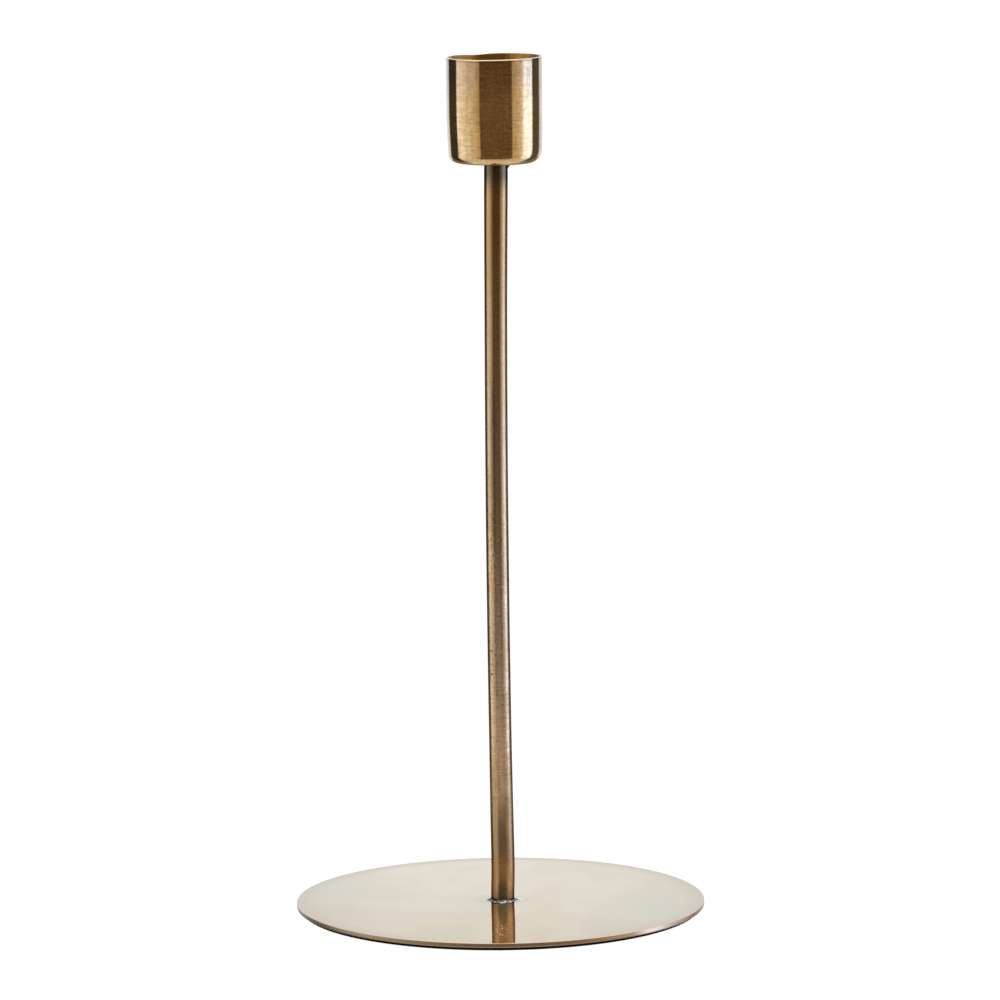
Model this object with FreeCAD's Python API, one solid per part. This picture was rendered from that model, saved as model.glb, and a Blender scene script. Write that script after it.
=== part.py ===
"""Brass candlestick: a candle cup on a slim round stem, brazed to a flat round foot.

Frame: millimetres, +Z up, origin at the centre of the pad's underside, stem on the Z axis.
Every piece is a solid of revolution about that axis, and touching pieces meet face to face.
"""

import FreeCAD, Part

import math
import os

# Foot: a pad, a film of adhesive and the plate, from the ground up
PLATE_RADIUS = 50.0
PLATE_THICKNESS = 1.15
PLATE_EDGE_BREAK = 0.12
PAD_INSET = 1.3
PAD_THICKNESS = 0.75
FILM_THICKNESS = 0.1
FILM_INSET = 0.4

# Stem
STEM_RADIUS = 2.75
STEM_LENGTH = 181.4

# Candle cup: a straight wall at the mouth, then a slight taper down to a rounded corner
CUP_HEIGHT = 25.5
BORE_RADIUS = 11.1
WALL_THICKNESS = 0.5
STRAIGHT_WALL_LENGTH = 13.0
TAPER_IN = 0.3
CORNER_RADIUS = 2.6
LIP_ROUNDING = 0.3

# Braze beads: height along the stem, width along the face they sit on, and hollow of the slope
FOOT_BEAD_HEIGHT = 0.9
FOOT_BEAD_WIDTH = 1.5
CUP_BEAD_HEIGHT = 0.6
CUP_BEAD_WIDTH = 0.7
BEAD_HOLLOW = 0.12

# Levels of the horizontal faces
PLATE_BOTTOM = PAD_THICKNESS + FILM_THICKNESS
PLATE_TOP = PLATE_BOTTOM + PLATE_THICKNESS
CUP_BOTTOM = PLATE_TOP + STEM_LENGTH
CUP_LIP = CUP_BOTTOM + CUP_HEIGHT

ORIGIN = FreeCAD.Vector(0, 0, 0)
AXIS = FreeCAD.Vector(0, 0, 1)


def point(radius, z):
    """A point of a half section, in the XZ plane."""
    return FreeCAD.Vector(radius, 0, z)


def line(start, end):
    return Part.LineSegment(start, end).toShape()


def arc(start, middle, end):
    return Part.Arc(start, middle, end).toShape()


def revolve(edges):
    """The solid that a closed half section sweeps out about the Z axis."""
    section = Part.Face(Part.Wire(edges))
    return section.revolve(ORIGIN, AXIS, 360)


def disc(radius, bottom, thickness):
    return Part.makeCylinder(radius, thickness, point(0, bottom), AXIS)


def make_base_plate():
    """The foot's plate, with the upper and lower edges of its rim broken."""
    plate = disc(PLATE_RADIUS, PLATE_BOTTOM, PLATE_THICKNESS)
    rim_edges = [edge for edge in plate.Edges if isinstance(edge.Curve, Part.Circle)]
    return plate.makeFillet(PLATE_EDGE_BREAK, rim_edges)


def make_base_pad():
    return disc(PLATE_RADIUS - PAD_INSET, 0, PAD_THICKNESS)


def make_pad_adhesive():
    return disc(PLATE_RADIUS - PAD_INSET - FILM_INSET, PAD_THICKNESS, FILM_THICKNESS)


def make_stem():
    return disc(STEM_RADIUS, PLATE_TOP, STEM_LENGTH)


def make_bead(face_level, height, width):
    """A slightly hollow fillet of braze in the corner between the stem and a flat face.

    A positive height rises from the face, and a negative one hangs below it.
    """
    corner = point(STEM_RADIUS, face_level)
    on_face = point(STEM_RADIUS + width, face_level)
    on_stem = point(STEM_RADIUS, face_level + height)
    slope_middle = (on_face + on_stem) * 0.5
    towards_corner = (corner - slope_middle).normalize()
    return revolve([
        line(corner, on_face),
        arc(on_face, slope_middle + towards_corner * BEAD_HOLLOW, on_stem),
        line(on_stem, corner),
    ])


def cup_side(radius, bottom, corner_radius, top):
    """One side of the cup's wall, from the axis outward and up to a level at or near its lip.

    A flat bottom, a quarter-round corner, a gentle outward curve and a straight wall.
    """
    tapered_radius = radius - TAPER_IN
    corner_top = bottom + corner_radius
    straight_start = CUP_LIP - STRAIGHT_WALL_LENGTH
    flat_end = point(tapered_radius - corner_radius, bottom)
    half_chord = corner_radius * math.sqrt(0.5)
    corner_middle = point(tapered_radius - corner_radius + half_chord, corner_top - half_chord)
    corner_end = point(tapered_radius, corner_top)
    # The curve is upright where it meets the straight wall, so halfway down it has moved in
    # by a quarter of the whole taper.
    taper_middle = point(radius - TAPER_IN / 4, (corner_top + straight_start) / 2)
    taper_end = point(radius, straight_start)
    return [
        line(point(0, bottom), flat_end),
        arc(flat_end, corner_middle, corner_end),
        arc(corner_end, taper_middle, taper_end),
        line(taper_end, point(radius, top)),
    ]


def make_candle_cup():
    """A thin drawn cup, open at the top, with the outer edge of its lip rounded over."""
    outer_radius = BORE_RADIUS + WALL_THICKNESS
    inner_bottom = CUP_BOTTOM + WALL_THICKNESS
    lip_shoulder = CUP_LIP - LIP_ROUNDING
    outside = cup_side(outer_radius, CUP_BOTTOM, CORNER_RADIUS, lip_shoulder)
    inside = cup_side(BORE_RADIUS, inner_bottom, CORNER_RADIUS - WALL_THICKNESS, CUP_LIP)
    lip_flat_edge = point(outer_radius - LIP_ROUNDING, CUP_LIP)
    rounding_inset = LIP_ROUNDING * (1 - math.sqrt(0.5))
    rounding_middle = point(outer_radius - rounding_inset, CUP_LIP - rounding_inset)
    lip = [
        arc(point(outer_radius, lip_shoulder), rounding_middle, lip_flat_edge),
        line(lip_flat_edge, point(BORE_RADIUS, CUP_LIP)),
    ]
    core = line(point(0, inner_bottom), point(0, CUP_BOTTOM))
    return revolve(outside + lip + inside[::-1] + [core])


def main():
    nodes = {
        "base_plate": make_base_plate(),
        "base_pad": make_base_pad(),
        "pad_adhesive": make_pad_adhesive(),
        "stem": make_stem(),
        "foot_braze": make_bead(PLATE_TOP, FOOT_BEAD_HEIGHT, FOOT_BEAD_WIDTH),
        "cup_braze": make_bead(CUP_BOTTOM, -CUP_BEAD_HEIGHT, CUP_BEAD_WIDTH),
        "candle_cup": make_candle_cup(),
    }
    os.makedirs("parts", exist_ok=True)
    for name, shape in nodes.items():
        shape.exportStep(f"parts/{name}.step")


main()
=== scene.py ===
"""A brass candlestick: detailed pieces, materials, studio and camera round the CAD frame.

Metres, +Z up, in the row frame. Angles round the stem are measured from the camera's side, -Y,
and grow towards +X.
"""

import math

import bpy
import numpy as np
from mathutils import Matrix, Vector, noise


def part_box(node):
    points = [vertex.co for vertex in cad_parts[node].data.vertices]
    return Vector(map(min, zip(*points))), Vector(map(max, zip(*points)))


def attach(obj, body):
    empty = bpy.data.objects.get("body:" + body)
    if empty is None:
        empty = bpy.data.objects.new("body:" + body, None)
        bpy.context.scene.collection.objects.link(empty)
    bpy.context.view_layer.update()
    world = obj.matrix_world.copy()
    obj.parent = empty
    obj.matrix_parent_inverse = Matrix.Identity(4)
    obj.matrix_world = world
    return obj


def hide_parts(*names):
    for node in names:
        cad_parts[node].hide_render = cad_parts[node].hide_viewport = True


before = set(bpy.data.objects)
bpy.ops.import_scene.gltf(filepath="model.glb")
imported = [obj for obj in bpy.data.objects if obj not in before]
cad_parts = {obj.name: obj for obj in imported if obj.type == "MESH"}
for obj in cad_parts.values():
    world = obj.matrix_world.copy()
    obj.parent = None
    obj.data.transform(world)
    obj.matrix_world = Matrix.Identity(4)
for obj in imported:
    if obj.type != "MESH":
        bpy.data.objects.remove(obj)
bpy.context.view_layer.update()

MM = 0.001

# ---------------------------------------------------------------------------
# Sizes that the frame gives
# ---------------------------------------------------------------------------

PLATE_LOW, PLATE_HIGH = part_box("base_plate")
PAD_LOW, PAD_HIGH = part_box("base_pad")
STEM_LOW, STEM_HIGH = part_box("stem")
CUP_LOW, CUP_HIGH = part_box("candle_cup")
FOOT_BRAZE_LOW, FOOT_BRAZE_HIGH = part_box("foot_braze")
CUP_BRAZE_LOW, CUP_BRAZE_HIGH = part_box("cup_braze")

PLATE_TOP = PLATE_HIGH.z
PLATE_RADIUS = PLATE_HIGH.x
STEM_RADIUS = STEM_HIGH.x
CUP_BOTTOM = CUP_LOW.z
CUP_LIP = CUP_HIGH.z

# ---------------------------------------------------------------------------
# Mesh helpers
# ---------------------------------------------------------------------------


def smoothstep(value):
    """0 below 0 and 1 above 1, easing in between."""
    value = np.clip(value, 0.0, 1.0)
    return value * value * (3 - 2 * value)


def lobe(turn, centre_degrees, width_degrees):
    """1 at an angle, falling away smoothly on both sides."""
    off = turn - math.radians(centre_degrees)
    away = np.arctan2(np.sin(off), np.cos(off))
    return np.exp(-(away / math.radians(width_degrees)) ** 2)


def make_object(name, vertices, faces):
    """A smooth-shaded mesh object at the origin."""
    mesh = bpy.data.meshes.new(name)
    mesh.from_pydata(vertices, [], faces)
    mesh.validate()
    mesh.shade_smooth()
    piece = bpy.data.objects.new(name, mesh)
    bpy.context.scene.collection.objects.link(piece)
    return piece


def ring_faces(rings, segments):
    """Quads between successive rings of a grid of vertices, each ring closed on itself."""
    faces = []
    for ring in range(rings - 1):
        start = ring * segments
        for step in range(segments):
            after = (step + 1) % segments
            faces.append((start + step, start + after, start + segments + after, start + segments + step))
    return faces


def lathe(name, profile, segments, shape=None):
    """A closed solid swept by a profile of (radius, z) from one point of the axis to another.

    shape, if given, takes the arrays of angles, radii and heights of all ring vertices, and
    returns their x, y and z, so that a piece can be less than perfectly round or straight.
    """
    inner = np.array(profile[1:-1])
    angles = np.linspace(0, 2 * math.pi, segments, endpoint=False)
    radius = np.repeat(inner[:, :1], segments, axis=1)
    height = np.repeat(inner[:, 1:], segments, axis=1)
    turn = np.repeat(angles[None, :], len(inner), axis=0)
    if shape is None:
        x, y, z = radius * np.sin(turn), -radius * np.cos(turn), height
    else:
        x, y, z = shape(turn, radius, height)
    grid = np.stack([x, y, z], axis=-1)
    vertices = [tuple(v) for v in grid.reshape(-1, 3)]
    faces = ring_faces(len(inner), segments)
    first_pole, last_pole = len(vertices), len(vertices) + 1
    vertices.append(tuple(grid[0].mean(axis=0)[:2]) + (profile[0][1],))
    vertices.append(tuple(grid[-1].mean(axis=0)[:2]) + (profile[-1][1],))
    last_ring = (len(inner) - 1) * segments
    for step in range(segments):
        after = (step + 1) % segments
        faces.append((first_pole, after, step))
        faces.append((last_pole, last_ring + step, last_ring + after))
    return make_object(name, vertices, faces)


def span(start, end, count, ease=1.0):
    """Points from start to end, without the first. An ease over 1 crowds them towards the end."""
    steps = np.linspace(0, 1, count + 1)[1:]
    steps = 1 - (1 - steps) ** ease
    return [tuple(np.array(start) + (np.array(end) - np.array(start)) * s) for s in steps]


def corner(centre, radii, start_degrees, end_degrees, count):
    """Points on an elliptical arc about a centre, without the first. 0 degrees points outward, 90 up."""
    points = []
    for step in range(1, count + 1):
        angle = math.radians(start_degrees + (end_degrees - start_degrees) * step / count)
        points.append((centre[0] + radii[0] * math.cos(angle), centre[1] + radii[1] * math.sin(angle)))
    return points


def noise_grid(x, y, z, scale, seed):
    """Smooth noise, about -1 to 1, at every point of three equal grids. Scale is its grain in metres."""
    offset = Vector((seed * 17.3, seed * 5.1, seed * 9.7))
    flat = zip(np.ravel(x), np.ravel(y), np.ravel(z))
    values = [noise.noise(Vector(point) / scale + offset) for point in flat]
    return np.array(values).reshape(np.shape(x))


# ---------------------------------------------------------------------------
# Node helpers
# ---------------------------------------------------------------------------


class Graph:
    """Short calls that build one node tree."""

    def __init__(self, owner):
        owner.use_nodes = True
        self.tree = owner.node_tree
        self.tree.nodes.clear()

    def node(self, kind, inputs=None, **settings):
        """A node, with settings on it, and values or other nodes' sockets for its inputs."""
        made = self.tree.nodes.new("ShaderNode" + kind)
        for key, value in settings.items():
            setattr(made, key, value)
        for key, value in (inputs or {}).items():
            if isinstance(value, bpy.types.NodeSocket):
                self.tree.links.new(value, made.inputs[key])
            else:
                made.inputs[key].default_value = value
        return made

    def math(self, operation, first, second=0.0, third=0.0):
        return self.node("Math", {0: first, 1: second, 2: third}, operation=operation).outputs[0]

    def times(self, first, second):
        return self.math("MULTIPLY", first, second)

    def between(self, value, low, high):
        """0 at low and 1 at high, smoothly, whichever is the larger."""
        if low > high:
            return self.math("SUBTRACT", 1.0, self.between(value, high, low))
        mapped = {"Value": value, "From Min": low, "From Max": high}
        return self.node("MapRange", mapped, interpolation_type="SMOOTHSTEP").outputs[0]

    def between_degrees(self, angle, low, high):
        return self.between(angle, math.radians(low), math.radians(high))

    def zone(self, value, begin, full, full_until, end):
        """1 from full to full_until, easing to 0 at begin and at end."""
        return self.times(self.between(value, begin, full), self.between(value, end, full_until))

    def zone_degrees(self, angle, begin, full, full_until, end):
        return self.zone(angle, *(math.radians(limit) for limit in (begin, full, full_until, end)))

    def turn_from_front(self, parts):
        """The angle round the axis from the camera's side, -Y, growing towards +X."""
        return self.math("ARCTAN2", parts[0], self.times(parts[1], -1.0))

    def distance_from_axis(self, place):
        flat = self.scaled(place, 1.0, 1.0, 0.0)
        return self.node("VectorMath", {0: flat}, operation="LENGTH").outputs["Value"]

    def mix(self, factor, first, second, blend_type="MIX"):
        """Two colours mixed. Each is a socket or an RGB triple."""
        first, second = (
            colour if isinstance(colour, bpy.types.NodeSocket) else (*colour, 1.0)
            for colour in (first, second)
        )
        made = self.node("Mix", {0: factor, 6: first, 7: second}, data_type="RGBA", blend_type=blend_type)
        return made.outputs[2]

    def tinted(self, factor, colour, tint):
        """A colour multiplied by a tint, as far as the factor says."""
        return self.mix(factor, colour, tint, "MULTIPLY")

    def grey(self, tone):
        return self.node("CombineColor", {0: tone, 1: tone, 2: tone}).outputs[0]

    def mix_value(self, factor, first, second):
        return self.node("Mix", {0: factor, 2: first, 3: second}, data_type="FLOAT").outputs[0]

    def ramp(self, value, stops):
        made = self.node("ValToRGB", {0: value})
        elements = made.color_ramp.elements
        while len(elements) < len(stops):
            elements.new(1.0)
        for element, (position, colour) in zip(elements, stops):
            element.position = position
            element.color = (*colour, 1.0)
        return made.outputs[0]

    def scaled(self, vector, x, y, z):
        return self.node("VectorMath", {0: vector, 1: (x, y, z)}, operation="MULTIPLY").outputs[0]

    def toned(self, colour, layers):
        """A colour made lighter and darker by patterns that run about 0.5, each with its strength."""
        for pattern, strength in layers:
            tone = self.math("MULTIPLY_ADD", pattern, 2 * strength, 1 - strength)
            colour = self.tinted(1.0, colour, self.grey(tone))
        return colour

    def noise(self, vector, scale, detail=2.0, roughness=0.5, seed=0.0):
        """Noise from 0 to 1, whose grain is 1/scale metres."""
        inputs = {"Vector": vector, "W": seed, "Scale": scale, "Detail": detail, "Roughness": roughness}
        return self.node("TexNoise", inputs, noise_dimensions="4D").outputs[0]

    def bump(self, height, distance, strength=1.0, normal=None):
        inputs = {"Height": height, "Distance": distance, "Strength": strength}
        if normal is not None:
            inputs["Normal"] = normal
        return self.node("Bump", inputs).outputs[0]

    def finish_surface(self, shader):
        self.node("OutputMaterial", {"Surface": shader})


def new_material(name):
    material = bpy.data.materials.new(name)
    return material, Graph(material)


def wear(piece, material):
    """The piece's only material."""
    piece.data.materials.clear()
    piece.data.materials.append(material)


# ---------------------------------------------------------------------------
# Materials
# ---------------------------------------------------------------------------

CUP_BRASS = (0.60, 0.43, 0.235)
CUP_BRASS_BROWN = (0.48, 0.30, 0.11)
CUP_INSIDE = (0.46, 0.27, 0.075)
CUP_INSIDE_DARK = (0.127, 0.058, 0.012)
CUP_INSIDE_LIGHT = (0.80, 0.56, 0.26)
CUP_TOP = (0.55, 0.40, 0.27)
LIP_WORN = (0.58, 0.45, 0.34)
STEM_BRASS = (0.54, 0.385, 0.25)
STEM_BROWN = (0.45, 0.30, 0.17)
STEM_TOP_BROWN = (0.42, 0.26, 0.12)
STEM_FOOT_BROWN = (0.34, 0.215, 0.115)
STEM_OXIDE = (0.075, 0.07, 0.066)
STEM_SOOT_AND_SHADE = (0.10, 0.088, 0.066)
STEM_GRAZING = (0.05, 0.04, 0.03)
STEM_PIT = (0.05, 0.035, 0.025)
STEM_CREVICE_SHADE = (0.01, 0.008, 0.007)
STEM_DULL_TINT = (0.74, 0.71, 0.66)
STEM_GREY_TINT = (0.99, 1.02, 1.05)
STEM_REFLECTION_STRIPE_TINT = (0.76, 0.84, 1.00)
STEM_DARK_TOP_REFLECTION_TINT = (0.70, 0.71, 0.76)
STEM_DARK_LEFT_TINT = (0.66, 0.66, 0.68)
PLATE_STAINS = [
    (0.30, (0.575, 0.555, 0.435)),
    (0.44, (0.60, 0.54, 0.41)),
    (0.56, (0.655, 0.580, 0.480)),
    (0.70, (0.605, 0.525, 0.370)),
]
PLATE_YELLOW_TINT = (0.965, 0.93, 0.85)
PLATE_WARM_REFLECTION_FRONT = (0.59, 0.46, 0.33)
PLATE_WARM_REFLECTION_SIDE = (0.48, 0.39, 0.29)
PLATE_HEATED = (0.30, 0.285, 0.25)
DUST = (0.44, 0.32, 0.18)
EDGE_PATINA_AND_SHADE = (0.23, 0.175, 0.115)
EDGE_WORN_AND_LIT = (0.37, 0.29, 0.205)
EDGE_RIGHT_HIGHLIGHT_TINT = (1.1, 0.88, 0.76)
EDGE_HIGHLIGHT = (0.80, 0.64, 0.48)
BRAZE_SILVER_FRONT = (0.56, 0.525, 0.455)
BRAZE_SILVER_HIGHLIGHT = (0.54, 0.53, 0.50)
BRAZE_OXIDE_AND_SHADE = (0.06, 0.05, 0.037)
BRAZE_CREVICE_SHADE = (0.02, 0.016, 0.012)
BRAZE_BLACKENED = (0.05, 0.043, 0.038)
BRAZE_GLINT = (0.22, 0.20, 0.18)
FELT_BLACK = (0.002, 0.002, 0.002)
FELT_LINT = (0.009, 0.0085, 0.0085)
FILM_BUBBLE = (0.14, 0.14, 0.13)
FILM_GREY = (0.09, 0.09, 0.085)
BLACK = (0.0, 0.0, 0.0)

DUST_CENTRE = (0.2 * MM, -36 * MM, PLATE_TOP)
FAR_BELOW = 1.0

# Heights on the stem where a mark begins, is full, stays full until, and ends.
STEM_SCRATCHED_ZONE = (20 * MM, 30 * MM, 52 * MM, 70 * MM)
STEM_GRAINY_ZONE = (40 * MM, 60 * MM, 90 * MM, 125 * MM)
STEM_GREY_ZONE = (40 * MM, 60 * MM, 155 * MM, 168 * MM)
STEM_DARK_LEFT_ZONE = (84 * MM, 96 * MM, 124 * MM, 136 * MM)


def cup_material():
    """Antique brass, brushed round the cup and mottled, darker and browner inside."""
    material, graph = new_material("cup_brushed_brass")
    place = graph.node("TexCoord").outputs["Object"]
    parts = graph.node("SeparateXYZ", {0: place}).outputs
    height = parts[2]
    # Brushing runs round the cup, so most patterns are squeezed in height. The streaks run down it.
    lines = graph.noise(graph.scaled(place, 1.0, 1.0, 16.0), 160.0, 3.0, 0.6)
    strokes = graph.noise(graph.scaled(place, 1.0, 1.0, 3.5), 520.0, 2.0, 0.55, 1.0)
    mottle = graph.noise(graph.scaled(place, 1.0, 1.0, 0.8), 1600.0, 1.0, 0.5, 3.0)
    streaks = graph.noise(graph.scaled(place, 1.0, 1.0, 0.1), 1400.0, 2.0, 0.6, 4.0)
    patches = graph.noise(place, 140.0, 4.0, 0.6, 7.0)
    brown_share = graph.between(patches, 0.42, 0.72)
    colour = graph.mix(graph.times(brown_share, 0.35), CUP_BRASS, CUP_BRASS_BROWN)
    near_top = graph.between(height, CUP_LIP - 12 * MM, CUP_LIP - 3 * MM)
    colour = graph.mix(graph.times(near_top, 0.6), colour, CUP_TOP)
    colour = graph.mix(graph.times(near_top, 0.13), colour, BLACK)
    # The bore is browner, darkened almost black at the back and lighter on its left.
    from_back = graph.math("ARCTAN2", parts[0], parts[1])
    off_centre = graph.math("ABSOLUTE", graph.math("ADD", from_back, math.radians(2)))
    darkened_back = graph.times(graph.between_degrees(off_centre, 34, 13), 0.95)
    lining = graph.mix(darkened_back, CUP_INSIDE, CUP_INSIDE_DARK)
    lightened = graph.zone_degrees(from_back, -140, -112, -68, -40)
    lining = graph.mix(lightened, lining, CUP_INSIDE_LIGHT)
    inside = graph.node("Attribute", attribute_name="inside").outputs["Fac"]
    colour = graph.mix(inside, colour, lining)
    colour = graph.toned(colour, [(lines, 0.24), (strokes, 0.36), (mottle, 0.26), (streaks, 0.34)])
    # The lip is pale from wear, with a thin line of painted shade below it.
    lip = graph.node("Attribute", attribute_name="lip").outputs["Fac"]
    under_lip_shade = graph.node("Attribute", attribute_name="under_lip_shade").outputs["Fac"]
    colour = graph.mix(graph.times(under_lip_shade, 0.4), colour, BLACK)
    colour = graph.mix(lip, colour, LIP_WORN)
    roughness = graph.math("MULTIPLY_ADD", lines, 0.05, 0.11)
    roughness = graph.math("MULTIPLY_ADD", near_top, -0.02, roughness)
    roughness = graph.mix_value(inside, roughness, 0.42)
    normal = graph.bump(lines, 0.0006 * MM)
    normal = graph.bump(strokes, 0.0002 * MM, normal=normal)
    tangent = graph.node("Tangent", direction_type="RADIAL", axis="Z").outputs[0]
    shader = graph.node("BsdfPrincipled", {
        "Base Color": colour, "Metallic": 1.0, "Roughness": roughness, "Normal": normal,
        "Anisotropic": 1.0, "Anisotropic Rotation": 0.25, "Tangent": tangent,
    })
    graph.finish_surface(shader.outputs[0])
    return material


def stem_material():
    """Satin antique brass: grainy patina, pits, fine scratches round it, and heat tint at each end."""
    material, graph = new_material("stem_antique_brass")
    place = graph.node("TexCoord").outputs["Object"]
    parts = graph.node("SeparateXYZ", {0: place}).outputs
    height = parts[2]
    turn = graph.turn_from_front(parts)
    scratches = graph.noise(graph.scaled(place, 1.0, 1.0, 7.0), 350.0, 3.0, 0.6)
    grain = graph.noise(graph.scaled(place, 1.0, 1.0, 0.8), 2100.0, 2.0, 0.6, 9.0)
    patches = graph.noise(graph.scaled(place, 1.0, 1.0, 0.3), 420.0, 4.0, 0.6, 5.0)
    colour = graph.mix(graph.between(patches, 0.35, 0.68), STEM_BRASS, STEM_BROWN)
    upper = graph.between(height, 120 * MM, 170 * MM)
    colour = graph.mix(graph.times(upper, 0.8), colour, STEM_TOP_BROWN)
    # Scratches show most low down, and coarse grain and pits above them.
    scratched = graph.zone(height, *STEM_SCRATCHED_ZONE)
    grainy = graph.zone(height, *STEM_GRAINY_ZONE)
    fine = graph.toned(colour, [(scratches, 0.14), (grain, 0.20)])
    rough_grain = graph.toned(colour, [(scratches, 0.14), (grain, 0.50)])
    rough_lines = graph.toned(colour, [(scratches, 0.60), (grain, 0.40)])
    colour = graph.mix(scratched, graph.mix(grainy, fine, rough_grain), rough_lines)
    pit_noise = graph.noise(place, 1500.0, 1.0, 0.4, 4.0)
    pitted = graph.times(graph.zone_degrees(turn, -85, -45, -20, 5), grainy)
    pits = graph.times(graph.between(pit_noise, 0.62, 0.69), pitted)
    colour = graph.mix(graph.times(pits, 0.75), colour, STEM_PIT)
    # Heat from brazing has browned and blackened both ends.
    wander = graph.math("MULTIPLY_ADD", patches, 5 * MM, -2.5 * MM)
    uneven_height = graph.math("ADD", height, wander)
    top_tint = graph.between(uneven_height, STEM_HIGH.z - 9 * MM, STEM_HIGH.z - 2 * MM)
    foot_tint = graph.between(uneven_height, STEM_LOW.z + 34 * MM, STEM_LOW.z + 6 * MM)
    foot_black = graph.between(uneven_height, STEM_LOW.z + 4.0 * MM, STEM_LOW.z + 0.5 * MM)
    colour = graph.mix(graph.times(foot_tint, 0.65), colour, STEM_FOOT_BROWN)
    # Dull flanks near the foot, a greyer band up the stem with a painted reflection down its middle, and a
    # darker patch on the left of the middle.
    aside = graph.math("ABSOLUTE", turn)
    on_sides = graph.zone_degrees(aside, 18, 36, 56, 66)
    dull = graph.times(on_sides, graph.between(uneven_height, 45 * MM, 24 * MM))
    # A painted highlight lifts the dullness low down on the right.
    lightened = graph.times(graph.between_degrees(turn, 30, 42), graph.between(height, 15 * MM, 8 * MM))
    dull = graph.times(dull, graph.math("MULTIPLY_ADD", lightened, -0.8, 1.0))
    colour = graph.tinted(dull, colour, STEM_DULL_TINT)
    # Painted reflection: the middle, facing the camera, is tinted bluer, and darker towards the top.
    reflection_stripe = graph.between_degrees(aside, 30, 17)
    greyed = graph.zone(height, *STEM_GREY_ZONE)
    colour = graph.tinted(greyed, colour, STEM_GREY_TINT)
    colour = graph.tinted(graph.times(greyed, reflection_stripe), colour, STEM_REFLECTION_STRIPE_TINT)
    dark_top_reflection = graph.between(height, *STEM_GREY_ZONE[2:])
    colour = graph.tinted(graph.times(dark_top_reflection, reflection_stripe), colour, STEM_DARK_TOP_REFLECTION_TINT)
    darker_left = graph.zone(uneven_height, *STEM_DARK_LEFT_ZONE)
    darker_left = graph.times(graph.zone_degrees(turn, -42, -30, -16, -4), darker_left)
    colour = graph.tinted(darker_left, colour, STEM_DARK_LEFT_TINT)
    # Soot runs up the front from the braze, deepened by painted shade that stands for the dark floor
    # reflected in front, and the crevice at the braze is painted black as shade.
    soot_and_shade_noise = graph.math("MULTIPLY_ADD", graph.noise(place, 500.0, 3.0, 0.6, 6.0), 0.5, -0.37)
    soot_and_shade_turn = graph.math("ABSOLUTE", graph.math("ADD", turn, soot_and_shade_noise))
    soot_and_shade_height = graph.between(uneven_height, STEM_LOW.z + 28 * MM, STEM_LOW.z + 16 * MM)
    soot_and_shade = graph.times(graph.between_degrees(soot_and_shade_turn, 30, 14), soot_and_shade_height)
    soot_and_shade_low = graph.between(height, STEM_LOW.z + 7.5 * MM, STEM_LOW.z + 3 * MM)
    soot_and_shade_depth = graph.mix_value(soot_and_shade_low, 0.54, 0.92)
    colour = graph.mix(graph.times(soot_and_shade, soot_and_shade_depth), colour, STEM_SOOT_AND_SHADE)
    # Painted shade: the crevice where the stem meets the braze is black over the front half.
    crevice_shade_edge = graph.math("MULTIPLY_ADD", patches, 0.6 * MM, 0.28 * MM)
    above_crevice_shade = graph.math("SUBTRACT", height, crevice_shade_edge)
    crevice_shade = graph.between(above_crevice_shade, STEM_LOW.z + 0.2 * MM, STEM_LOW.z)
    crevice_shade = graph.times(crevice_shade, graph.between_degrees(aside, 92, 63))
    tint = graph.math("MAXIMUM", graph.times(foot_black, 0.55), graph.times(top_tint, 0.8))
    colour = graph.mix(tint, colour, STEM_OXIDE)
    colour = graph.mix(crevice_shade, colour, STEM_CREVICE_SHADE)
    roughness = graph.math("MULTIPLY_ADD", patches, 0.10, 0.20)
    normal = graph.bump(scratches, 0.005 * MM)
    normal = graph.bump(grain, 0.003 * MM, normal=normal)
    normal = graph.bump(graph.math("SUBTRACT", 1.0, pits), 0.03 * MM, normal=normal)
    shader = graph.node("BsdfPrincipled", {
        "Base Color": colour, "Metallic": 1.0, "Roughness": roughness, "Normal": normal,
        "Specular Tint": (*STEM_GRAZING, 1.0),
    })
    graph.finish_surface(shader.outputs[0])
    return material


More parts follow.
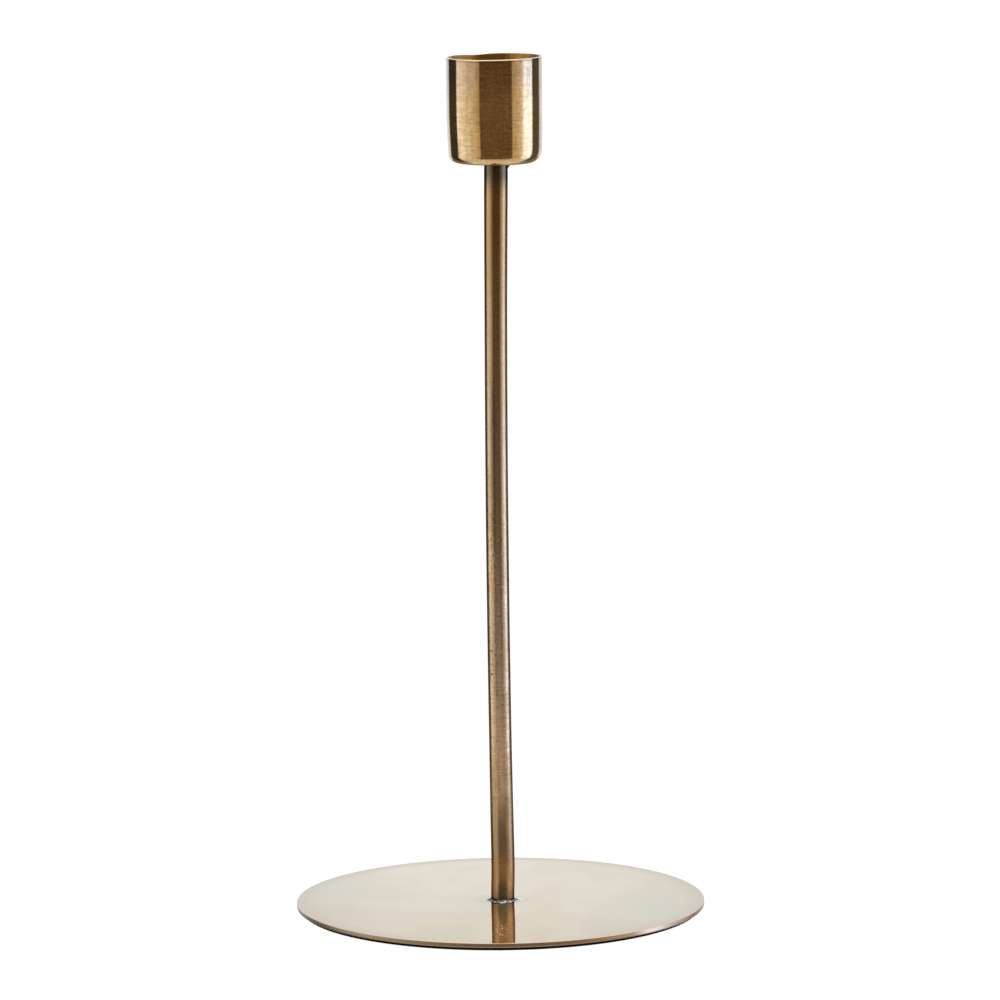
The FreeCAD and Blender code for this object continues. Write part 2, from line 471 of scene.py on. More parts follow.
def plate_material():
    """Pale brass polished to a near mirror: faint stains, a little dust, painted shade and a painted
    reflection on the face, and a brown unpolished edge with painted shade and a painted highlight.
    """
    material, graph = new_material("plate_polished_brass")
    place = graph.node("TexCoord").outputs["Object"]
    stains = graph.noise(graph.scaled(place, 1.0, 0.55, 1.0), 38.0, 3.0, 0.55, 2.0)
    colour = graph.ramp(stains, PLATE_STAINS)
    scratches = graph.noise(graph.scaled(place, 1.0, 12.0, 1.0), 120.0, 4.0, 0.6)
    roughness = graph.math("MULTIPLY_ADD", stains, 0.03, 0.035)
    normal = graph.bump(scratches, 0.001 * MM)
    parts = graph.node("SeparateXYZ", {0: place}).outputs
    turn = graph.turn_from_front(parts)
    across = graph.distance_from_axis(place)
    # Painted shade makes the face a little darker at the sides and towards the front; it is yellower at the
    # front left, and a warm painted reflection lies towards the rim.
    aside = graph.math("POWER", graph.math("ABSOLUTE", graph.math("DIVIDE", parts[0], PLATE_RADIUS)), 2.5)
    tone = graph.math("MULTIPLY_ADD", aside, -0.15, 1.01)
    tone = graph.math("MULTIPLY_ADD", parts[1], 0.07 / PLATE_RADIUS, tone)
    colour = graph.tinted(1.0, colour, graph.grey(tone))
    front_left = graph.math("MULTIPLY_ADD", parts[0], -0.3, graph.times(parts[1], -1.0))
    front_left = graph.math("MULTIPLY_ADD", stains, 16 * MM, graph.math("SUBTRACT", front_left, 8 * MM))
    yellow = graph.between(front_left, 9 * MM, 24 * MM)
    colour = graph.tinted(yellow, colour, PLATE_YELLOW_TINT)
    # Painted reflection: a warm band towards the rim, darker at the sides.
    warm = graph.between(across, 44.0 * MM, 49.6 * MM)
    to_side = graph.between_degrees(graph.math("ABSOLUTE", turn), 12, 35)
    warm_reflection_tone = graph.mix(to_side, PLATE_WARM_REFLECTION_FRONT, PLATE_WARM_REFLECTION_SIDE)
    colour = graph.mix(graph.times(warm, 0.75), colour, warm_reflection_tone)
    # Specks of dust in front of the stem.
    speck_noise = graph.noise(graph.scaled(place, 1.0, 0.3, 1.0), 2600.0, 0.0, 0.5, 15.0)
    from_specks = graph.node("VectorMath", {0: place, 1: DUST_CENTRE}, operation="SUBTRACT")
    from_specks = graph.scaled(from_specks.outputs[0], 1.0, 0.19, 0.0)
    from_specks = graph.node("VectorMath", {0: from_specks}, operation="LENGTH").outputs["Value"]
    speck_share = graph.between(from_specks, 1.8 * MM, 0.8 * MM)
    specks = graph.times(graph.between(speck_noise, 0.62, 0.71), speck_share)
    colour = graph.mix(specks, colour, DUST)
    roughness = graph.mix_value(specks, roughness, 0.6)
    metallic = graph.math("MULTIPLY_ADD", specks, -0.8, 1.0)
    # Heat has greyed the face beside the braze.
    heat_noise = graph.noise(place, 420.0, 4.0, 0.65, 8.0)
    near_foot = graph.between(across, 8.5 * MM, 3.5 * MM)
    beside = graph.between(graph.math("ABSOLUTE", graph.math("SINE", turn)), 0.35, 0.8)
    heat = graph.times(near_foot, graph.between(heat_noise, 0.25, 0.65))
    heat = graph.times(heat, beside)
    colour = graph.mix(graph.times(heat, 0.55), colour, PLATE_HEATED)
    roughness = graph.math("MULTIPLY_ADD", heat, 0.12, roughness)
    # The patina lies on the rim, below the polished face. Painted shade keeps it darkest at the front,
    # lighter towards the sides and in blotches of wear; painted light from the right makes it pinker on
    # that side, with a painted highlight at about 54 degrees.
    at_rim = graph.between(across, 49.3 * MM, 49.7 * MM)
    edge_line = graph.mix_value(at_rim, PLATE_TOP - FAR_BELOW, PLATE_TOP)
    edge = graph.between(graph.math("SUBTRACT", edge_line, parts[2]), 0.015 * MM, 0.12 * MM)
    # Painted shade: darkest at the front, lighter towards the sides.
    lit_towards_sides = graph.between_degrees(graph.math("ABSOLUTE", turn), 0, 75)
    blotches = graph.noise(place, 70.0, 4.0, 0.6, 6.0)
    worn_and_lit = graph.math("MULTIPLY_ADD", lit_towards_sides, 0.4, graph.times(blotches, 0.4))
    patina = graph.mix(worn_and_lit, EDGE_PATINA_AND_SHADE, EDGE_WORN_AND_LIT)
    # Painted light: pinker on the right, with a painted highlight at about 54 degrees.
    right_lit = graph.between_degrees(turn, 5, 30)
    patina = graph.tinted(right_lit, patina, EDGE_RIGHT_HIGHLIGHT_TINT)
    off_bright = graph.math("ABSOLUTE", graph.math("SUBTRACT", turn, math.radians(54)))
    bright = graph.between_degrees(off_bright, 16, 7)
    patina = graph.mix(graph.times(bright, 0.8), patina, EDGE_HIGHLIGHT)
    colour = graph.mix(edge, colour, patina)
    roughness = graph.mix_value(edge, roughness, 0.42)
    shader = graph.node("BsdfPrincipled", {
        "Base Color": colour, "Metallic": metallic, "Roughness": roughness, "Normal": normal,
    })
    graph.finish_surface(shader.outputs[0])
    return material


def foot_braze_material():
    """Silvery braze: oxidised black in spots and darkened on its thin front edge, with painted shade in the
    folds beside the stem and in the gap against it, and a whiter painted highlight, with fewer spots, at
    the sides and back.
    """
    material, graph = new_material("foot_braze_silvery")
    place = graph.node("TexCoord").outputs["Object"]
    spots = graph.noise(place, 900.0, 3.0, 0.6)
    stem_foot = (stem_drift(STEM_LOW.z), 0.0, 0.0)
    centred = graph.node("VectorMath", {0: place, 1: stem_foot}, operation="SUBTRACT").outputs[0]
    parts = graph.node("SeparateXYZ", {0: centred}).outputs
    height = parts[2]
    across = graph.distance_from_axis(centred)
    # Painted shade: black in the gap against the stem.
    crevice_shade = graph.between(across, STEM_RADIUS + 0.22 * MM, STEM_RADIUS + 0.06 * MM)
    turn = graph.math("ABSOLUTE", graph.turn_from_front(parts))
    turn = graph.math("MULTIPLY_ADD", spots, 0.3, graph.math("SUBTRACT", turn, 0.15))
    # Painted shade in the folds at the front and sides.
    fold_shade = graph.zone_degrees(turn, 24, 40, 81, 88)
    thin = graph.between(height, PLATE_TOP + 0.10 * MM, PLATE_TOP + 0.02 * MM)
    thin = graph.times(thin, graph.between_degrees(turn, 70, 45))
    # Painted highlight: the sides and back are a whiter silver, with fewer spots.
    bright = graph.between_degrees(turn, 80, 88)
    silver = graph.mix(bright, BRAZE_SILVER_FRONT, BRAZE_SILVER_HIGHLIGHT)
    fewer_spots = graph.math("MULTIPLY_ADD", bright, -0.85, 1.0)
    spotted = graph.times(graph.between(spots, 0.55, 0.65), fewer_spots)
    dark = graph.math("MAXIMUM", graph.times(fold_shade, 0.94), graph.times(thin, 0.65))
    oxide_and_shade = graph.math("MAXIMUM", spotted, dark)
    colour = graph.mix(oxide_and_shade, silver, BRAZE_OXIDE_AND_SHADE)
    colour = graph.mix(crevice_shade, colour, BRAZE_CREVICE_SHADE)
    roughness = graph.math("MULTIPLY_ADD", spots, 0.3, 0.15)
    normal = graph.bump(spots, 0.03 * MM)
    shader = graph.node("BsdfPrincipled", {
        "Base Color": colour, "Metallic": 1.0, "Roughness": roughness, "Normal": normal,
    })
    graph.finish_surface(shader.outputs[0])
    return material


def cup_braze_material():
    """Braze blackened by the torch, with a few bare glints."""
    material, graph = new_material("cup_braze_blackened")
    place = graph.node("TexCoord").outputs["Object"]
    spots = graph.noise(place, 1400.0, 3.0, 0.6)
    colour = graph.mix(graph.between(spots, 0.5, 0.7), BRAZE_BLACKENED, BRAZE_GLINT)
    roughness = graph.math("MULTIPLY_ADD", spots, 0.3, 0.25)
    normal = graph.bump(spots, 0.03 * MM)
    shader = graph.node("BsdfPrincipled", {
        "Base Color": colour, "Metallic": 1.0, "Roughness": roughness, "Normal": normal,
    })
    graph.finish_surface(shader.outputs[0])
    return material


def felt_material():
    """Black pressed felt: matted fibres and a little lint."""
    material, graph = new_material("pad_black_felt")
    place = graph.node("TexCoord").outputs["Object"]
    fibres = graph.noise(place, 2500.0, 5.0, 0.7)
    clumps = graph.noise(place, 300.0, 3.0, 0.6, 4.0)
    colour = graph.mix(graph.between(fibres, 0.4, 0.75), FELT_BLACK, FELT_LINT)
    roughness = graph.math("ADD", 0.85, graph.times(clumps, 0.12))
    normal = graph.bump(fibres, 0.15 * MM)
    shader = graph.node("BsdfPrincipled", {
        "Base Color": colour, "Roughness": roughness, "Normal": normal, "Sheen Weight": 0.05,
        "Specular IOR Level": 0.05,
    })
    graph.finish_surface(shader.outputs[0])
    return material


def adhesive_material():
    """Grey acrylic adhesive film with trapped bubbles."""
    material, graph = new_material("adhesive_grey_film")
    place = graph.node("TexCoord").outputs["Object"]
    bubbles = graph.node("TexVoronoi", {"Vector": place, "Scale": 900.0}).outputs[0]
    colour = graph.mix(graph.between(bubbles, 0.1, 0.5), FILM_BUBBLE, FILM_GREY)
    roughness = graph.math("ADD", 0.45, graph.times(bubbles, 0.2))
    normal = graph.bump(bubbles, 0.02 * MM)
    shader = graph.node("BsdfPrincipled", {"Base Color": colour, "Roughness": roughness, "Normal": normal})
    graph.finish_surface(shader.outputs[0])
    return material


# ---------------------------------------------------------------------------
# Pieces
# ---------------------------------------------------------------------------


def build_cup():
    """The drawn cup: rounded bottom, slight taper, thin lip that waves a little."""
    outer = CUP_HIGH.x
    wall = 0.5 * MM
    taper = 0.3 * MM
    straight = 13.0 * MM
    bore = outer - wall
    corner_out = (2.3 * MM, 2.0 * MM)
    corner_in = (1.6 * MM, 1.5 * MM)
    foot_radius = outer - taper
    floor = CUP_BOTTOM + wall
    lip_out = 0.26 * MM
    lip_rows = 1.0 * MM
    lip_in = 0.06 * MM
    segments = 256

    def side(radius, tapered, low, high, count):
        """The wall from its corner up, upright from the straight part on."""
        points = []
        for z in np.linspace(low, high, count + 1)[1:]:
            drop = max(0.0, (CUP_LIP - straight - z) / (CUP_LIP - straight - low))
            points.append((radius - (radius - tapered) * drop ** 1.7, z))
        return points

    profile = [(0.0, CUP_BOTTOM)]
    profile += span((0.0, CUP_BOTTOM), (foot_radius - corner_out[0], CUP_BOTTOM), 10, 1.5)
    centre = (foot_radius - corner_out[0], CUP_BOTTOM + corner_out[1])
    profile += corner(centre, corner_out, -90, 0, 16)
    profile += side(outer, foot_radius, profile[-1][1], CUP_LIP - lip_out - lip_rows, 38)
    profile += span(profile[-1], (outer, CUP_LIP - lip_out), 10)
    profile += corner((outer - lip_out, CUP_LIP - lip_out), (lip_out, lip_out), 0, 90, 8)
    profile += [(bore + lip_in, CUP_LIP)]
    profile += corner((bore + lip_in, CUP_LIP - lip_in), (lip_in, lip_in), 90, 180, 4)
    upper = side(bore, bore - taper, floor + corner_in[1], CUP_LIP - lip_in, 40)
    profile += upper[::-1][1:]
    centre = (bore - taper - corner_in[0], floor + corner_in[1])
    profile += corner(centre, corner_in, 0, -90, 12)
    profile += span(profile[-1], (0.0, floor), 8)

    def hand_finished(turn, radius, height):
        """The lip waves, with a dip at the back left. The bottom is shifted and rounder at the right."""
        dip_turn, dip_width = 0.42, 0.3
        dip_depth = 0.23 * MM
        wave_height = 0.14 * MM
        reach = 3 * MM
        bottom_shift = 0.13 * MM
        tuck = 0.045
        from_back = np.arctan2(np.sin(math.pi - turn), np.cos(math.pi - turn))
        dip = np.exp(-((from_back + dip_turn) / dip_width) ** 2)
        wave = wave_height * np.maximum(np.sin(turn), -0.35) - dip_depth * dip
        height = height + wave * smoothstep((height - CUP_LIP + reach) / reach)
        low = smoothstep((CUP_LIP - 12 * MM - height) / (14 * MM))
        rounder = smoothstep((CUP_BOTTOM + reach - height) / reach)
        radius = radius * (1 - tuck * rounder * np.maximum(np.sin(turn), 0) ** 1.5)
        return radius * np.sin(turn) + bottom_shift * low, -radius * np.cos(turn), height

    piece = lathe("cup_drawn", profile, segments, hand_finished)
    lip_ring = profile.index((bore + lip_in, CUP_LIP))
    # Painted shade: a thin dark line just under the lip's bead.
    dark_line = CUP_LIP - lip_out - 0.25 * MM
    dark_line_width = 0.15 * MM
    shares = {"inside": [], "lip": [], "under_lip_shade": []}
    for ring, (radius, z) in enumerate(profile):
        outside = ring < lip_ring
        shares["inside"].append(0.0 if outside else 1.0)
        shares["lip"].append(1.0 if z > CUP_LIP - 0.9 * lip_out and ring <= lip_ring else 0.0)
        from_line = (z - dark_line) / dark_line_width
        shares["under_lip_shade"].append(math.exp(-from_line ** 2) if outside else 0.0)
    for name, values in shares.items():
        on_rings = np.repeat(values[1:-1], segments)
        attribute = piece.data.attributes.new(name, "FLOAT", "POINT")
        attribute.data.foreach_set("value", list(on_rings) + [values[0], values[-1]])
    wear(piece, cup_material())
    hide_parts("candle_cup")
    return piece


def stem_drift(height):
    """How far the hand-straightened stem leans to the right of its axis, by height."""
    at_foot, slope, bow = 0.74 * MM, -3.10 * MM, 2.65 * MM
    kink, kink_reach = 0.28 * MM, 0.03
    share = (height - STEM_LOW.z) / (STEM_HIGH.z - STEM_LOW.z)
    return at_foot + slope * share + bow * share ** 2 - kink * np.exp(-(share / kink_reach) ** 2)


def stem_set_back(height):
    """How far the stem leans back just above the braze, where the joint pulled it."""
    set_back, pull_reach = 0.35 * MM, 7 * MM
    upright_from, eased_over = 150 * MM, 90 * MM
    pulled = 1.0 - np.exp(-(height - STEM_LOW.z) / pull_reach)
    return set_back * pulled * smoothstep((upright_from - height) / eased_over)


def build_stem():
    """The rod: very slightly bowed, with shallow dents and pits in its patina."""
    swell_depth = 0.012 * MM
    pit_depth = 0.03 * MM
    pits_centre, pits_reach = 65 * MM, 90 * MM
    thicker_top, thicker_foot = 0.12 * MM, 0.10 * MM
    rings = np.linspace(STEM_LOW.z, STEM_HIGH.z, 560)
    profile = [(0.0, STEM_LOW.z)]
    profile += [(STEM_RADIUS, z) for z in rings]
    profile += [(0.0, STEM_HIGH.z)]

    def worked(turn, radius, height):
        """Wavy by a hair, pitted over the middle, and a little thicker towards both ends."""
        x, y = np.sin(turn), -np.cos(turn)
        swell = noise_grid(x * 4 * MM, y * 4 * MM, height, 20 * MM, 3) * swell_depth
        pit_noise = noise_grid(x * STEM_RADIUS, y * STEM_RADIUS, height, 0.6 * MM, 8)
        pit_area = smoothstep((pits_reach - np.abs(height - pits_centre)) / (30 * MM))
        pits = smoothstep((pit_noise - 0.45) / 0.2) * pit_area * pit_depth
        thick_top = thicker_top * smoothstep((height - 145 * MM) / (35 * MM))
        thick_foot = thicker_foot * smoothstep((45 * MM - height) / (30 * MM))
        radius = radius + swell - pits + thick_top + thick_foot
        return radius * x + stem_drift(height), radius * y + stem_set_back(height), height

    piece = lathe("stem_rod", profile, 96, worked)
    wear(piece, stem_material())
    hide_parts("stem")
    return piece


FOOT_SHIFT = 0.1 * MM


def plate_warp(turn, radius):
    """How far the foot has sprung up off its pad: most at the back right, nothing at the front."""
    rim_share = smoothstep((radius / PLATE_RADIUS - 0.3) / 0.7)
    back_right = 0.30 * MM * lobe(turn, 148, 52)
    back_left = 0.10 * MM * lobe(turn, -115, 45)
    return (back_right + back_left) * rim_share


def build_plate():
    """The sheet-metal foot, its rim rounded over by tumbling and its face a little uneven."""
    top_round = (0.20 * MM, 0.15 * MM)
    low_round = (0.22 * MM, 0.5 * MM)
    bottom = PLATE_LOW.z
    fine_radius = 12 * MM
    wave_depth = 0.012 * MM
    mound_radius, mound_width = 5 * MM, 3 * MM
    mound_height = 0.05 * MM
    profile = [(0.0, bottom)]
    profile += span((0.0, bottom), (PLATE_RADIUS - low_round[0], bottom), 16)
    profile += corner((PLATE_RADIUS - low_round[0], bottom + low_round[1]), low_round, -90, 0, 10)
    profile += corner((PLATE_RADIUS - top_round[0], PLATE_TOP - top_round[1]), top_round, 0, 90, 14)
    profile += span(profile[-1], (fine_radius, PLATE_TOP), 50)
    profile += span((fine_radius, PLATE_TOP), (0.0, PLATE_TOP), 60)

    def uneven(turn, radius, height):
        """The face is faintly wavy and raised round the braze, and the whole foot is sprung."""
        x, y = radius * np.sin(turn), -radius * np.cos(turn)
        upper = height > (PLATE_TOP + bottom) / 2
        waviness = noise_grid(x, y, np.zeros_like(x), 28 * MM, 5) * wave_depth
        mound = np.exp(-((radius - mound_radius) / mound_width) ** 2) * mound_height
        height = height + plate_warp(turn, radius) + np.where(upper, waviness + mound, 0.0)
        return x - FOOT_SHIFT, y, height

    piece = lathe("plate_disc", profile, 384, uneven)
    wear(piece, plate_material())
    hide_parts("base_plate")
    return piece


def build_pad():
    """The pad: soft edges and a matted underside."""
    radius = PAD_HIGH.x
    thick = PAD_HIGH.z
    soft = 0.09 * MM
    edge_fuzz, under_fuzz = 0.05 * MM, 0.03 * MM
    profile = [(0.0, 0.0)]
    profile += span((0.0, 0.0), (radius - soft, 0.0), 60)
    profile += corner((radius - soft, soft), (soft, soft), -90, 0, 5)
    profile += corner((radius - soft, thick - soft), (soft, soft), 0, 90, 5)
    profile += span(profile[-1], (0.0, thick), 24)

    def matted(turn, radius, height):
        """Fibres stand off the edge and the underside, and the top follows the sprung foot."""
        x, y = np.sin(turn), -np.cos(turn)
        fuzz = noise_grid(x * radius, y * radius, height, 0.9 * MM, 6)
        at_edge = radius > PAD_HIGH.x - 2 * soft
        under = (height < 0.1 * MM) & ~at_edge
        spring = plate_warp(turn, radius) * np.clip(height / thick, 0, 1)
        radius = radius + np.where(at_edge, fuzz * edge_fuzz, 0.0)
        height = height + spring + np.where(under, (fuzz + 0.7).clip(0) * under_fuzz, 0.0)
        return radius * x - FOOT_SHIFT, radius * y, height

    piece = lathe("pad_felt", profile, 384, matted)
    wear(piece, felt_material())
    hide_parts("base_pad")
    return piece


def bead_solid(name, level, direction, centre_x, heights, widths, puddle, bulge, rows, lumps, seed):
    """A closed ring of braze in the corner between the stem and a flat face.

    level is the face's height and direction 1 to rise from it or -1 to hang below. heights,
    widths and puddle give the bead's height, its width and how high its thin skirt stands, and
    bulge runs from 0, a hollow fillet, to 1, a full drop, at each angle.
    """
    segments = len(heights)
    turn = np.linspace(0, 2 * math.pi, segments, endpoint=False)
    embed = 0.05 * MM
    sunk = level - direction * 0.02 * MM
    inner = STEM_RADIUS - embed
    rings = []
    for step in range(rows + 1):
        share = step / rows
        out = inner + (widths + embed) * (1 - share) ** (1.4 - 0.95 * bulge)
        up = heights * share ** (2.4 - 1.5 * bulge)
        up = up + puddle * math.sin(math.pi * min(1.0, share * 1.25)) ** 0.6
        x = out * np.sin(turn)
        y = -out * np.cos(turn)
        if 0 < step < rows:
            rough = noise_grid(x, y, np.full_like(x, level), 1.1 * MM, seed) * lumps
            up = np.maximum(up + rough * smoothstep(np.minimum(share, 1 - share) * 4), 0.01 * MM)
        rings.append(np.stack([x + centre_x, y, level + direction * up], axis=-1))
    foot_line = rings[0].copy()
    foot_line[:, 2] = sunk
    under_x = inner * np.sin(turn) + centre_x
    under = np.stack([under_x, -inner * np.cos(turn), np.full_like(turn, sunk)], axis=-1)
    grid = np.array([foot_line] + rings + [under])
    vertices = [tuple(v) for v in grid.reshape(-1, 3)]
    faces = ring_faces(len(grid), segments)
    last = (len(grid) - 1) * segments
    for step in range(segments):
        after = (step + 1) % segments
        faces.append((last + step, last + after, after, step))
    piece = make_object(name, vertices, faces)
    if direction < 0:
        piece.data.flip_normals()
    return piece


def build_foot_braze():
    """The silvery bead round the stem's foot, run out into a thin puddle on each side."""
    turn = np.linspace(0, 2 * math.pi, 320, endpoint=False)
    wander = noise_grid(np.sin(turn), np.cos(turn), np.zeros_like(turn), 0.35, 11)
    ragged = noise_grid(np.sin(turn), np.cos(turn), np.zeros_like(turn), 0.12, 12)
    sides = lobe(turn, 102, 20) + lobe(turn, -98, 20)
    front = lobe(turn, 5, 50)
    heights = (FOOT_BRAZE_HIGH.z - PLATE_TOP) * (0.46 + 0.12 * wander + 0.58 * sides + 0.28 * front)
    widths = (0.95 + 0.20 * wander + (2.5 + 0.7 * ragged) * sides + 0.95 * front) * MM
    puddle = (0.02 + 0.05 * sides + 0.03 * ragged) * MM
    bulge = 0.75 * front
    piece = bead_solid("foot_braze_bead", PLATE_TOP, 1, stem_drift(STEM_LOW.z), heights, widths, puddle,
                       bulge, 18, 0.20 * MM, 21)
    wear(piece, foot_braze_material())
    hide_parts("foot_braze")
    return piece


def build_cup_braze():
    """The small dark bead under the cup, with one lump on the right."""
    turn = np.linspace(0, 2 * math.pi, 160, endpoint=False)
    wander = noise_grid(np.sin(turn), np.cos(turn), np.zeros_like(turn), 0.5, 14)
    lump = lobe(turn, 82, 24)
    heights = (CUP_BRAZE_HIGH.z - CUP_BRAZE_LOW.z) * (0.9 + 0.15 * wander + 1.5 * lump)
    widths = (0.25 + 0.06 * wander + 0.60 * lump) * MM
    piece = bead_solid("cup_braze_bead", CUP_BOTTOM, -1, stem_drift(STEM_HIGH.z), heights, widths,
                       0.03 * MM, lump, 10, 0.04 * MM, 22)
    wear(piece, cup_braze_material())
    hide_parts("cup_braze")
    return piece


# ---------------------------------------------------------------------------
# Studio
# ---------------------------------------------------------------------------

FLOOR_LONG = 0.36
FLOOR_WIDE = 0.26
FLOOR_AHEAD = 0.12
FLOOR_FADE = 0.35
FLOOR_CLEAR = (0.075, 0.17)
FLOOR_GLOW = 1.15
FLOOR_GLOW_SHARE = 0.85

# Radiance round the object at low elevation, by azimuth in degrees from the camera's side.
LIGHT_BANDS = [
    (-180.0, (1.00, 1.00, 1.00)),
    (-157.0, (1.02, 1.12, 1.30)),
    (-140.5, (1.02, 1.12, 1.30)),
    (-138.5, (0.06, 0.056, 0.05)),
    (-104.0, (0.06, 0.056, 0.05)),
    (-101.5, (1.45, 1.52, 1.65)),
    (-90.0, (1.35, 1.40, 1.45)),
    (-60.0, (0.94, 0.88, 0.74)),
    (-45.0, (0.74, 0.62, 0.42)),
    (-37.0, (0.60, 0.48, 0.29)),
    (-35.0, (0.130, 0.076, 0.028)),
    (42.5, (0.138, 0.080, 0.028)),
    (44.5, (0.66, 0.52, 0.34)),
    (56.0, (0.78, 0.65, 0.46)),
    (70.0, (1.09, 1.06, 1.00)),
    (77.0, (1.82, 2.24, 3.25)),
    (102.0, (1.82, 2.24, 3.25)),
    (105.5, (0.125, 0.115, 0.10)),
    (136.0, (0.125, 0.115, 0.10)),
    (138.0, (0.99, 1.08, 1.23)),
    (157.0, (0.99, 1.08, 1.23)),
    (180.0, (1.00, 1.00, 1.00)),
]
PEAK = 3.4

# Radiance above and below those bands.
OVERHEAD = (1.9, 1.88, 1.84)
FRONT_ABOVE = (2.00, 1.42, 0.78)
SIDE_ABOVE = (1.16, 1.05, 0.90)
FRONT_HIGH = (1.20, 1.12, 1.00)
FLAG_GLOW = (0.92, 0.58, 0.32)
FLAG_TOP = (1.05, 1.02, 0.96)
BELOW = (1.00, 0.96, 0.88)
BEHIND_BELOW = (0.30, 0.22, 0.14)
BACKDROP = (1.05, 1.05, 1.05)


def scaled_light(colour):
    """A radiance as a share of the brightest that the world's colour nodes carry."""
    return tuple(channel / PEAK for channel in colour)


def build_world():
    """A soft studio: bands of light and dark round the object, a bright ceiling, a white backdrop."""
    world = bpy.data.worlds.new("studio")
    bpy.context.scene.world = world
    graph = Graph(world)
    direction = graph.node("TexCoord").outputs["Generated"]
    parts = graph.node("SeparateXYZ", {0: direction}).outputs
    azimuth = graph.turn_from_front(parts)
    turn = graph.math("MULTIPLY_ADD", azimuth, 0.5 / math.pi, 0.5)
    elevation = graph.math("ARCSINE", parts[2])
    stops = [(azimuth_degrees / 360 + 0.5, scaled_light(colour)) for azimuth_degrees, colour in LIGHT_BANDS]
    bands = graph.ramp(turn, stops)
    from_front = graph.math("ABSOLUTE", azimuth)

    # Over the front half the light is warm, up to a paler one that starts lower towards the sides.
    in_front = graph.between_degrees(from_front, 99, 95)
    warm_above = graph.between_degrees(elevation, 14.3, 12.8)
    ahead = graph.between_degrees(from_front, 38, 34)
    warm_ahead = graph.times(graph.between_degrees(elevation, 20, 18), ahead)
    warm_above = graph.math("MAXIMUM", warm_above, warm_ahead)
    front_above = graph.mix(warm_above, scaled_light(FRONT_HIGH), scaled_light(FRONT_ABOVE))
    aside = graph.times(graph.between_degrees(from_front, 40, 46), in_front)
    aside_low = graph.times(graph.between_degrees(elevation, 2, 5), aside)
    bands = graph.mix(aside_low, bands, scaled_light(SIDE_ABOVE))
    lifted = graph.between_degrees(elevation, 8, 13)
    bands = graph.mix(graph.times(in_front, lifted), bands, front_above)

    # The dark flags at the sides end in a glow, and pale light follows above it.
    at_flags = graph.zone_degrees(from_front, 99, 103, 137, 140)
    flag_top = graph.between_degrees(elevation, 15, 21)
    over_flags = graph.mix(flag_top, scaled_light(FLAG_GLOW), scaled_light(FLAG_TOP))
    lifted = graph.between_degrees(elevation, 5, 11)
    bands = graph.mix(graph.times(at_flags, lifted), bands, over_flags)

    # Low down it is dim behind, and light in front and underneath.
    below = scaled_light(BELOW)
    behind = graph.between_degrees(from_front, 134, 138)
    behind_low = graph.between_degrees(elevation, -15, -23)
    bands = graph.mix(graph.times(behind, behind_low), bands, scaled_light(BEHIND_BELOW))
    lowered = graph.between_degrees(elevation, -22, -35)
    bands = graph.mix(graph.times(in_front, lowered), bands, below)
    straight_down = graph.between_degrees(elevation, -50, -60)
    bands = graph.mix(straight_down, bands, below)

    high = graph.between_degrees(elevation, 22, 55)
    light = graph.mix(high, bands, scaled_light(OVERHEAD))
    lit = graph.node("Background", {"Color": light, "Strength": PEAK})
    seen = graph.node("Background", {"Color": (*BACKDROP, 1), "Strength": 1.0})
    camera_ray = graph.node("LightPath").outputs["Is Camera Ray"]
    both = graph.node("MixShader", {0: camera_ray, 1: lit.outputs[0], 2: seen.outputs[0]})
    graph.node("OutputWorld", {"Surface": both.outputs[0]})


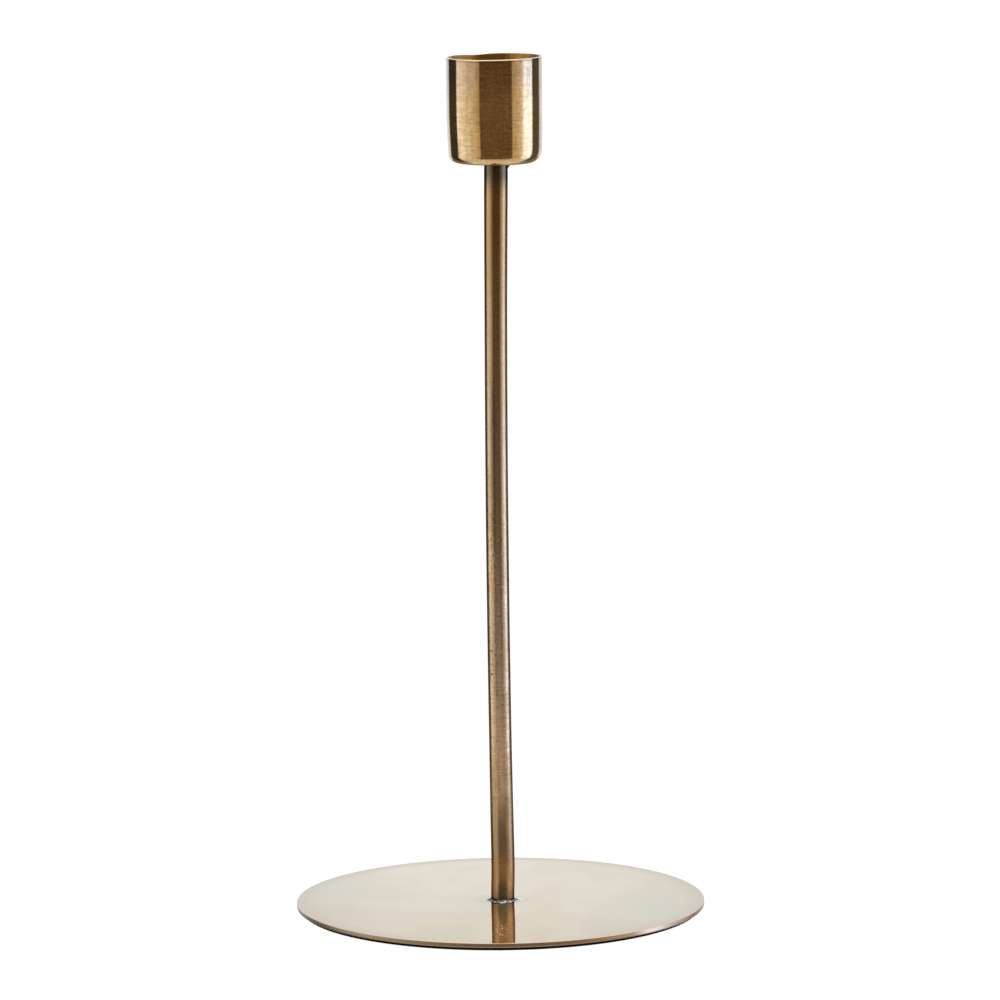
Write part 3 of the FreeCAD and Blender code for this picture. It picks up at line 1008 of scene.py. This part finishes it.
def build_floor():
    """A white table top, longer towards the camera, that fades out into the backdrop."""
    shares = (0.1, 0.25, 0.4, 0.55, 0.7, 0.85, 1.0)
    segments = 96
    vertices = [(0.0, -FLOOR_AHEAD, 0.0)]
    for share in shares:
        for step in range(segments):
            angle = 2 * math.pi * step / segments
            x = FLOOR_WIDE * share * math.sin(angle)
            y = -FLOOR_AHEAD - FLOOR_LONG * share * math.cos(angle)
            vertices.append((x, y, 0.0))
    faces = [(0, 1 + step, 1 + (step + 1) % segments) for step in range(segments)]
    rings = ring_faces(len(shares), segments)
    faces += [tuple(1 + index for index in reversed(face)) for face in rings]
    floor = make_object("floor", vertices, faces)
    material, graph = new_material("floor_white")
    place = graph.node("TexCoord").outputs["Object"]
    centred = graph.node("VectorMath", {0: place, 1: (0.0, FLOOR_AHEAD, 0.0)}, operation="ADD").outputs[0]
    evened = graph.scaled(centred, 1 / FLOOR_WIDE, 1 / FLOOR_LONG, 1.0)
    share = graph.node("VectorMath", {0: evened}, operation="LENGTH").outputs["Value"]
    grain = graph.noise(place, 60.0, 3.0)
    tone = graph.math("MULTIPLY_ADD", grain, 0.02, 0.55)
    colour = graph.grey(tone)
    table = graph.node("BsdfDiffuse", {"Color": colour})
    glow = graph.node("Emission", {"Color": (1, 1, 1, 1), "Strength": FLOOR_GLOW})
    camera_ray = graph.node("LightPath").outputs["Is Camera Ray"]
    bright = graph.times(camera_ray, FLOOR_GLOW_SHARE)
    lit = graph.node("MixShader", {0: bright, 1: table.outputs[0], 2: glow.outputs[0]})
    # Near the object every ray but the camera's passes through and meets the studio's light instead.
    nothing = graph.node("BsdfTransparent")
    out = graph.node("VectorMath", {0: place}, operation="LENGTH").outputs["Value"]
    clear = graph.math("SUBTRACT", graph.between(out, FLOOR_CLEAR[1], FLOOR_CLEAR[0]), camera_ray)
    gone = graph.math("MAXIMUM", graph.between(share, FLOOR_FADE, 1.0), clear)
    shader = graph.node("MixShader", {0: gone, 1: lit.outputs[0], 2: nothing.outputs[0]})
    graph.finish_surface(shader.outputs[0])
    wear(floor, material)


def build_camera():
    """A long lens a little above the cup, looking down on the foot."""
    target = Vector((0.582, 0.0, 101.08)) * MM
    distance = 1486.2 * MM
    pitch = math.radians(8.279)
    roll = math.radians(-0.48)
    data = bpy.data.cameras.new("camera")
    data.sensor_width = 36.0
    data.lens = 220.06
    data.clip_start = 0.1
    data.clip_end = 20.0
    camera = bpy.data.objects.new("camera", data)
    bpy.context.scene.collection.objects.link(camera)
    back = Vector((0.0, -math.cos(pitch), math.sin(pitch)))
    turned = Matrix.Rotation(math.pi / 2 - pitch, 4, "X") @ Matrix.Rotation(roll, 4, "Z")
    camera.matrix_world = Matrix.Translation(target + back * distance) @ turned
    bpy.context.scene.camera = camera


build_camera()
build_world()
build_floor()

for piece in (build_cup(), build_stem(), build_plate(), build_pad(), build_foot_braze(), build_cup_braze()):
    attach(piece, "root")

wear(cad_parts["pad_adhesive"], adhesive_material())

bpy.context.scene.view_settings.view_transform = "Standard"
bpy.context.scene.view_settings.look = "None"
